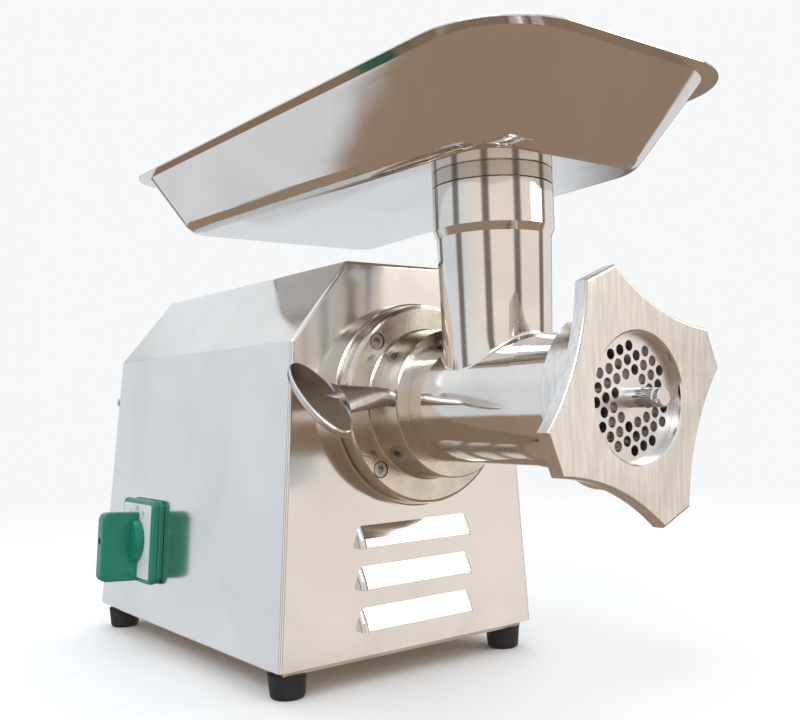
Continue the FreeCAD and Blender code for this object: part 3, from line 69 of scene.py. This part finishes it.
class Paint:
    """A procedural material: a Principled shader whose textures follow the object's coordinates."""

    def __init__(self, name, colour, roughness, metallic=0.0, **sockets):
        self.material = bpy.data.materials.new(name)
        self.material.use_nodes = True
        self.tree = self.material.node_tree
        self.shader = self.tree.nodes["Principled BSDF"]
        self.place = self.tree.nodes.new("ShaderNodeTexCoord").outputs["Object"]
        self.shader.inputs["Base Color"].default_value = (*colour, 1)
        self.shader.inputs["Roughness"].default_value = roughness
        self.shader.inputs["Metallic"].default_value = metallic
        for label, number in sockets.items():
            self.shader.inputs[label.replace("_", " ")].default_value = number
        self.colour = colour
        self.normal = None

    def stretched(self, stretch, lean=0.0):
        """Object coordinates turned about Y by lean degrees, then scaled apart along the three axes."""
        node = self.tree.nodes.new("ShaderNodeMapping")
        node.inputs["Rotation"].default_value = (0, math.radians(lean), 0)
        node.inputs["Scale"].default_value = stretch
        self.tree.links.new(self.place, node.inputs["Vector"])
        return node.outputs["Vector"]

    def noise(self, scale, detail=3.0, stretch=(1, 1, 1), warp=0.0, lean=0.0):
        """Noise from 0 to 1."""
        node = self.tree.nodes.new("ShaderNodeTexNoise")
        node.inputs["Scale"].default_value = scale
        node.inputs["Detail"].default_value = detail
        node.inputs["Distortion"].default_value = warp
        self.tree.links.new(self.stretched(stretch, lean), node.inputs["Vector"])
        return node.outputs["Fac"]

    def turned(self, centre, scale):
        """Fine rings about an axis along Y through centre, as a lathe tool leaves them."""
        shift = self.tree.nodes.new("ShaderNodeVectorMath")
        shift.operation = "SUBTRACT"
        shift.inputs[1].default_value = (centre[0], 0, centre[1])
        self.tree.links.new(self.place, shift.inputs[0])
        flat = self.tree.nodes.new("ShaderNodeVectorMath")
        flat.operation = "MULTIPLY"
        flat.inputs[1].default_value = (1, 0, 1)
        self.tree.links.new(shift.outputs["Vector"], flat.inputs[0])
        far = self.tree.nodes.new("ShaderNodeVectorMath")
        far.operation = "LENGTH"
        self.tree.links.new(flat.outputs["Vector"], far.inputs[0])
        apart = self.tree.nodes.new("ShaderNodeSeparateXYZ")
        self.tree.links.new(self.place, apart.inputs["Vector"])
        join = self.tree.nodes.new("ShaderNodeCombineXYZ")
        self.tree.links.new(far.outputs["Value"], join.inputs["X"])
        self.tree.links.new(apart.outputs["Y"], join.inputs["Y"])
        node = self.tree.nodes.new("ShaderNodeTexNoise")
        node.inputs["Scale"].default_value = scale
        node.inputs["Detail"].default_value = 2
        self.tree.links.new(join.outputs["Vector"], node.inputs["Vector"])
        return node.outputs["Fac"]

    def spread(self, source, low, high, start=0.3, end=0.7):
        """Map a 0 to 1 source onto low to high."""
        node = self.tree.nodes.new("ShaderNodeMapRange")
        node.inputs["From Min"].default_value = start
        node.inputs["From Max"].default_value = end
        node.inputs["To Min"].default_value = low
        node.inputs["To Max"].default_value = high
        self.tree.links.new(source, node.inputs["Value"])
        return node.outputs["Result"]

    def tint(self, source, darker, lighter):
        """Colour from darker to lighter times the material's own, driven by a source."""
        node = self.tree.nodes.new("ShaderNodeMix")
        node.data_type = "RGBA"
        node.inputs["A"].default_value = (*[part * darker for part in self.colour], 1)
        node.inputs["B"].default_value = (*[min(1, part * lighter) for part in self.colour], 1)
        self.tree.links.new(self.spread(source, 0, 1), node.inputs["Factor"])
        self.tree.links.new(node.outputs["Result"], self.shader.inputs["Base Color"])
        return self

    def rough(self, source, less, more):
        """Roughness between two values, driven by a source."""
        self.tree.links.new(self.spread(source, less, more), self.shader.inputs["Roughness"])
        return self

    def bump(self, source, depth, strength=1.0):
        """Relief of a given depth in metres, laid over any relief before it."""
        node = self.tree.nodes.new("ShaderNodeBump")
        node.inputs["Strength"].default_value = strength
        node.inputs["Distance"].default_value = depth
        self.tree.links.new(source, node.inputs["Height"])
        if self.normal:
            self.tree.links.new(self.normal, node.inputs["Normal"])
        self.normal = node.outputs["Normal"]
        self.tree.links.new(self.normal, self.shader.inputs["Normal"])
        return self


# ---------------------------------------------------------------- materials

def sheet_steel(name, colour, gloss, wave):
    """Mirror-polished sheet: a slow wave from the rollers and the press, smears and hairlines."""
    paint = Paint(name, colour, gloss, 1.0)
    smears = paint.noise(9, 4, warp=0.6)
    paint.tint(smears, 0.93, 1.05)
    paint.rough(paint.noise(14, 5, warp=1.2), gloss * 0.7, gloss * 1.7)
    paint.bump(paint.noise(7, 1.5), wave, 0.5)
    return paint.bump(paint.noise(160, 2, stretch=(1, 1, 9)), 0.00001, 0.35).material


def turned_steel(name, colour, gloss, centre, groove=0.00001):
    """Turned and polished steel: faint rings about the main axis."""
    paint = Paint(name, colour, gloss, 1.0)
    paint.tint(paint.noise(18, 3, warp=0.8), 0.9, 1.06)
    paint.rough(paint.noise(30, 4), gloss * 0.7, gloss * 1.5)
    paint.bump(paint.noise(25, 2), 0.0002, 0.3)
    return paint.bump(paint.turned(centre, 2600), groove, 0.5).material


def cast_steel(name, colour, gloss, grain):
    """Polished casting whose grain still shows."""
    paint = Paint(name, colour, gloss, 1.0)
    paint.tint(paint.noise(40, 4), 0.78, 1.1)
    paint.rough(paint.noise(60, 4), gloss * 0.7, gloss * 1.6)
    paint.bump(paint.noise(28, 2), 0.0005, 0.4)
    return paint.bump(paint.noise(700, 2.5), grain, 0.9).material


def brushed_steel(name, colour, gloss, lean):
    """Steel drawn over a belt: long hairlines at an angle, and cloudy patches where it was pressed."""
    paint = Paint(name, colour, gloss, 1.0)
    paint.tint(paint.noise(120, 4, stretch=(4, 4, 0.4), lean=lean), 0.86, 1.06)
    paint.rough(paint.noise(22, 4, warp=1.0), gloss * 0.6, gloss * 1.8)
    paint.bump(paint.noise(20, 2), 0.0005, 0.4)
    return paint.bump(paint.noise(260, 3, stretch=(5, 5, 0.15), lean=lean), 0.00003, 0.6).material


def plastic(name, colour, gloss, texture=0.00002):
    """Moulded plastic with a fine eggshell surface."""
    paint = Paint(name, colour, gloss, 0.0, IOR=1.5)
    paint.tint(paint.noise(35, 4), 0.86, 1.1)
    paint.rough(paint.noise(60, 4), gloss * 0.85, gloss * 1.3)
    return paint.bump(paint.noise(1400, 2), texture, 0.6).material


def rubber(name, colour):
    """Black rubber, a little dusty, with a matt skin."""
    paint = Paint(name, colour, 0.55, 0.0, IOR=1.45)
    paint.tint(paint.noise(50, 5), 0.7, 1.9)
    paint.rough(paint.noise(80, 4), 0.42, 0.7)
    return paint.bump(paint.noise(700, 3), 0.00004, 0.6).material


def painted(name, colour):
    """Satin machine enamel with orange peel."""
    paint = Paint(name, colour, 0.35, 0.0)
    paint.tint(paint.noise(25, 4), 0.85, 1.12)
    return paint.bump(paint.noise(450, 2), 0.00005, 0.6).material


def winding(name, colour):
    """Varnished copper wire laid in turns."""
    paint = Paint(name, colour, 0.3, 0.8)
    paint.tint(paint.noise(60, 3), 0.7, 1.15)
    return paint.bump(paint.noise(500, 1, stretch=(1, 6, 1)), 0.0003, 0.9).material


def laminations(name, colour):
    """Stack of thin sheets, seen edge on."""
    paint = Paint(name, colour, 0.45, 1.0)
    paint.tint(paint.noise(40, 3), 0.8, 1.1)
    return paint.bump(paint.noise(1, 1, stretch=(1, 2000, 1)), 0.0001, 0.8).material


def printed_label(name, colour):
    """Satin printed label."""
    paint = Paint(name, colour, 0.4)
    paint.tint(paint.noise(30, 3), 0.94, 1.03)
    return paint.bump(paint.noise(900, 2), 0.00001, 0.4).material


AXIS = (AXIS_X, AXIS_Z)
FINISHES = {
    "panel_steel": sheet_steel("panel_steel", (0.77, 0.75, 0.73), 0.11, 0.0012),
    "pan_steel": sheet_steel("pan_steel", (0.55, 0.50, 0.44), 0.28, 0.0006),
    "tray_steel": sheet_steel("tray_steel", (0.73, 0.69, 0.65), 0.07, 0.0010),
    "neck_steel": turned_steel("neck_steel", (0.62, 0.57, 0.52), 0.12, AXIS),
    "head_steel": turned_steel("head_steel", (0.76, 0.72, 0.68), 0.075, AXIS),
    "nut_steel": brushed_steel("nut_steel", (0.80, 0.77, 0.74), 0.17, 28),
    "plate_steel": turned_steel("plate_steel", (0.78, 0.77, 0.77), 0.30, AXIS),
    "auger_steel": turned_steel("auger_steel", (0.70, 0.69, 0.67), 0.20, AXIS, 0.00002),
    "wing_steel": brushed_steel("wing_steel", (0.62, 0.58, 0.55), 0.24, 60),
    "ring_steel": turned_steel("ring_steel", (0.58, 0.53, 0.47), 0.18, AXIS, 0.00003),
    "flange_steel": cast_steel("flange_steel", (0.68, 0.63, 0.57), 0.15, 0.00012),
    "screw_steel": turned_steel("screw_steel", (0.52, 0.49, 0.45), 0.26, AXIS),
    "grub_steel": turned_steel("grub_steel", (0.20, 0.20, 0.21), 0.40, AXIS),
    "rubber": rubber("rubber", (0.010, 0.010, 0.012)),
    "seal_rubber": rubber("seal_rubber", (0.030, 0.018, 0.015)),
    "nylon": plastic("nylon", (0.75, 0.72, 0.62), 0.45),
    "cast_aluminium": cast_steel("cast_aluminium", (0.62, 0.62, 0.63), 0.45, 0.00010),
    "gear_steel": turned_steel("gear_steel", (0.48, 0.47, 0.46), 0.30, AXIS, 0.00002),
    "bearing_steel": turned_steel("bearing_steel", (0.62, 0.62, 0.63), 0.15, AXIS),
    "painted_motor": painted("painted_motor", (0.03, 0.04, 0.05)),
    "lamination": laminations("lamination", (0.30, 0.30, 0.31)),
    "copper": winding("copper", (0.60, 0.25, 0.10)),
    "fan_plastic": plastic("fan_plastic", (0.02, 0.02, 0.02), 0.40),
    "bracket_steel": sheet_steel("bracket_steel", (0.55, 0.56, 0.57), 0.35, 0.0002),
    "capacitor_plastic": plastic("capacitor_plastic", (0.05, 0.05, 0.06), 0.40),
    "terminal_plastic": plastic("terminal_plastic", (0.02, 0.02, 0.02), 0.35),
    "switch_green": plastic("switch_green", (0.003, 0.185, 0.122), 0.28),
    "knob_green": plastic("knob_green", (0.003, 0.180, 0.118), 0.25),
    "label_white": printed_label("label_white", (0.62, 0.64, 0.68)),
}

for subpart in frame["record"]["subparts"]:
    skin = frame["nodes"][subpart["node"]].data
    skin.materials.clear()
    skin.materials.append(FINISHES[subpart["material_slot"]])


# ---------------------------------------------------------------- marks on the switch

LABEL = corners("label_plate")[2]
PANEL_LEAN = math.radians(4.0)
LABEL_OUT = Vector((-math.cos(PANEL_LEAN), 0, math.sin(PANEL_LEAN)))
LABEL_UP = Vector((math.sin(PANEL_LEAN), 0, math.cos(PANEL_LEAN)))
LABEL_FRONT = Vector((0, -1, 0))
PRINT_HEIGHT = 0.00046


def printed(name, outlines, paint):
    """Thin print on the label plate; each outline is a list of (front, up) points in metres."""
    mesh = bpy.data.meshes.new(name)
    spots, faces = [], []
    for outline in outlines:
        faces.append(tuple(range(len(spots), len(spots) + len(outline))))
        for front, up in outline:
            spots.append(LABEL + LABEL_FRONT * front + LABEL_UP * up + LABEL_OUT * PRINT_HEIGHT)
    mesh.from_pydata(spots, [], faces)
    mesh.materials.append(paint)
    thing = bpy.data.objects.new(name, mesh)
    bpy.context.scene.collection.objects.link(thing)
    ink = thing.modifiers.new("ink", "SOLIDIFY")
    ink.thickness = 0.00004
    ink.offset = 0
    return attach(thing, "machine")


def dial_marks():
    """Pointers at the knob's three places, with the bar, ring and double bar of a three-way switch."""
    red = Paint("pointer_red", (0.45, 0.03, 0.03), 0.4).material
    ink = Paint("dial_ink", (0.05, 0.05, 0.06), 0.4).material
    pointer_radius, sign_radius, step = 0.0213, 0.0258, math.radians(30)
    pointer_tip, pointer_back, pointer_half = 0.0013, 0.001, 0.0008
    bar_half, bar_tall, bar_apart = 0.00032, 0.0017, 0.0009

    def around(angle, radius, aside=0.0):
        """Point at a radius, with a small step sideways."""
        return (math.sin(angle) * radius + math.cos(angle) * aside,
                math.cos(angle) * radius - math.sin(angle) * aside)

    def pointer(angle):
        """Small triangle whose tip points at the knob."""
        return [around(angle, pointer_radius - pointer_tip),
                around(angle, pointer_radius + pointer_back, -pointer_half),
                around(angle, pointer_radius + pointer_back, pointer_half)]

    def bar(angle, aside):
        """Upright stroke of a sign."""
        return [around(angle, sign_radius + way * bar_tall, aside + side * bar_half)
                for way, side in ((-1, -1), (-1, 1), (1, 1), (1, -1))]

    printed("dial_pointers", [pointer(angle) for angle in (-step, 0, step)], red)
    signs = [bar(-step, 0), bar(step, -bar_apart), bar(step, bar_apart)]
    parts, outer, inner = 20, 0.0017, 0.0011
    for part in range(parts):
        turn, after = 2 * math.pi * part / parts, 2 * math.pi * (part + 1) / parts
        signs.append([(math.sin(angle) * radius, sign_radius + math.cos(angle) * radius)
                      for angle, radius in ((turn, inner), (turn, outer), (after, outer), (after, inner))])
    printed("dial_signs", signs, ink)


dial_marks()


# ---------------------------------------------------------------- studio

BACKDROP = (0.93, 0.94, 0.95)


def floor():
    """Plain pale floor that fades into the backdrop and stays out of the steel's reflections."""
    reach, sides = 3.0, 96
    mesh = bpy.data.meshes.new("floor")
    ring = [(reach * math.cos(2 * math.pi * side / sides), reach * math.sin(2 * math.pi * side / sides), 0)
            for side in range(sides)]
    mesh.from_pydata(ring, [], [tuple(range(sides))])
    thing = bpy.data.objects.new("floor", mesh)
    bpy.context.scene.collection.objects.link(thing)
    paint = Paint("floor", (0.86, 0.86, 0.86), 0.8)
    far = paint.tree.nodes.new("ShaderNodeVectorMath")
    far.operation = "LENGTH"
    paint.tree.links.new(paint.place, far.inputs[0])
    glow = paint.tree.nodes.new("ShaderNodeEmission")
    glow.inputs["Color"].default_value = (*BACKDROP, 1)
    fade = paint.tree.nodes.new("ShaderNodeMixShader")
    paint.tree.links.new(paint.spread(far.outputs["Value"], 0, 1, 0.35, 1.3), fade.inputs["Fac"])
    paint.tree.links.new(paint.shader.outputs["BSDF"], fade.inputs[1])
    paint.tree.links.new(glow.outputs["Emission"], fade.inputs[2])
    paint.tree.links.new(fade.outputs["Shader"], paint.tree.nodes["Material Output"].inputs["Surface"])
    mesh.materials.append(paint.material)
    thing.visible_glossy = False


class Room:
    """World light: a node tree that picks a tone by compass bearing and by elevation.

    Bearings run from +Y towards +X and elevations up from the horizon, both in radians.
    """

    def __init__(self):
        room = bpy.data.worlds.new("room")
        bpy.context.scene.world = room
        room.use_nodes = True
        self.tree = room.node_tree
        self.tree.nodes.clear()
        apart = self.add("ShaderNodeSeparateXYZ")
        self.link(self.add("ShaderNodeTexCoord").outputs["Generated"], apart.inputs["Vector"])
        self.bearing = self.maths("ARCTAN2", apart.outputs["X"], apart.outputs["Y"])
        self.elevation = self.maths("ARCSINE", apart.outputs["Z"])

    def add(self, kind, **settings):
        """New node with its settings."""
        made = self.tree.nodes.new(kind)
        for label, setting in settings.items():
            setattr(made, label, setting)
        return made

    def link(self, source, target):
        self.tree.links.new(source, target)

    def feed(self, source, socket):
        """Give a socket a link, a colour or a plain number."""
        if isinstance(source, tuple):
            socket.default_value = (*source, 1)
        elif isinstance(source, (int, float)):
            socket.default_value = source
        else:
            self.link(source, socket)

    def maths(self, operation, *sources):
        """Number from a maths node."""
        node = self.add("ShaderNodeMath", operation=operation)
        for source, socket in zip(sources, node.inputs):
            self.feed(source, socket)
        return node.outputs["Value"]

    def part(self, source, start, end):
        """Weight that runs smoothly from 0 at start to 1 at end."""
        span = self.add("ShaderNodeMapRange", interpolation_type="SMOOTHSTEP")
        span.inputs["From Min"].default_value = start
        span.inputs["From Max"].default_value = end
        self.link(source, span.inputs["Value"])
        return span.outputs["Result"]

    def blend(self, weight, first, second):
        """Tone between first, at weight 0, and second, at weight 1."""
        mix = self.add("ShaderNodeMix", data_type="RGBA")
        for source, label in ((weight, "Factor"), (first, "A"), (second, "B")):
            self.feed(source, mix.inputs[label])
        return mix.outputs["Result"]


def world():
    """Plain studio: a ring of even soft panels with dark gaps, a pale ceiling and a warm, darker ground."""
    cool, warm = (0.80, 0.86, 0.92), (1.00, 0.92, 0.84)
    gap, ground, ceiling = (0.22, 0.20, 0.18), (0.36, 0.27, 0.20), (0.90, 0.94, 0.98)
    panels, first_panel = 6, math.radians(26)
    room = Room()
    facing = room.maths("COSINE", room.bearing)
    from_first = room.maths("SUBTRACT", room.bearing, first_panel)
    around = room.maths("COSINE", room.maths("MULTIPLY", from_first, panels))
    ring = room.blend(room.part(facing, 0.5, -0.5), cool, warm)
    ring = room.blend(room.part(around, -0.95, -0.55), gap, ring)
    ground_end, ring_start, ring_end, ceiling_start = [math.radians(rise) for rise in (-18, -14, 15, 25)]
    light = room.blend(room.part(room.elevation, ground_end, ring_start), ground, ring)
    light = room.blend(room.part(room.elevation, ring_end, ceiling_start), light, ceiling)
    seen = room.add("ShaderNodeBackground")
    seen.inputs["Color"].default_value = (*BACKDROP, 1)
    reflected = room.add("ShaderNodeBackground")
    room.link(light, reflected.inputs["Color"])
    choice = room.add("ShaderNodeMixShader")
    room.link(room.add("ShaderNodeLightPath").outputs["Is Camera Ray"], choice.inputs["Fac"])
    room.link(reflected.outputs["Background"], choice.inputs[1])
    room.link(seen.outputs["Background"], choice.inputs[2])
    room.link(choice.outputs["Shader"], room.add("ShaderNodeOutputWorld").inputs["Surface"])


def softbox(name, spot, aim, width, height, power, colour):
    """Rectangular area light that faces aim."""
    lamp = bpy.data.lights.new(name, "AREA")
    lamp.shape = "RECTANGLE"
    lamp.size = width
    lamp.size_y = height
    lamp.energy = power
    lamp.color = colour
    thing = bpy.data.objects.new(name, lamp)
    thing.location = spot
    thing.rotation_euler = (Vector(aim) - Vector(spot)).to_track_quat("-Z", "Y").to_euler()
    thing.visible_camera = False
    bpy.context.scene.collection.objects.link(thing)


def camera():
    """Camera in front of the left-hand side, at the height of the main axis, turned a little."""
    left, ahead, height = 0.41338, 0.53654, 0.18717
    yaw, pitch, roll = math.radians(37.07), math.radians(2.64), math.radians(-1.66)
    lens = bpy.data.cameras.new("camera")
    lens.sensor_width = 36
    lens.lens = 43.297
    lens.clip_start = 0.05
    view = Vector((math.sin(yaw) * math.cos(pitch), math.cos(yaw) * math.cos(pitch), math.sin(pitch)))
    level = Vector((math.cos(yaw), -math.sin(yaw), 0))
    upright = level.cross(view)
    right = level * math.cos(roll) + upright * math.sin(roll)
    up = upright * math.cos(roll) - level * math.sin(roll)
    thing = bpy.data.objects.new("camera", lens)
    spot = Vector((AXIS_X - left, PANEL_Y - ahead, height))
    thing.matrix_world = Matrix.Translation(spot) @ Matrix((right, up, -view)).transposed().to_4x4()
    bpy.context.scene.collection.objects.link(thing)
    bpy.context.scene.camera = thing


bpy.context.scene.view_settings.view_transform = "Standard"
floor()
world()
middle = (AXIS_X, PANEL_Y, AXIS_Z)
softbox("key", (-1.6, -0.9, 1.8), middle, 1.4, 1.0, 22, (0.95, 0.98, 1.0))
softbox("fill", (1.7, -1.7, 1.3), middle, 1.2, 1.2, 16, (1.0, 0.92, 0.82))
softbox("top", (0.3, 0.6, 2.2), middle, 1.8, 1.8, 14, (0.94, 0.97, 1.0))
camera()
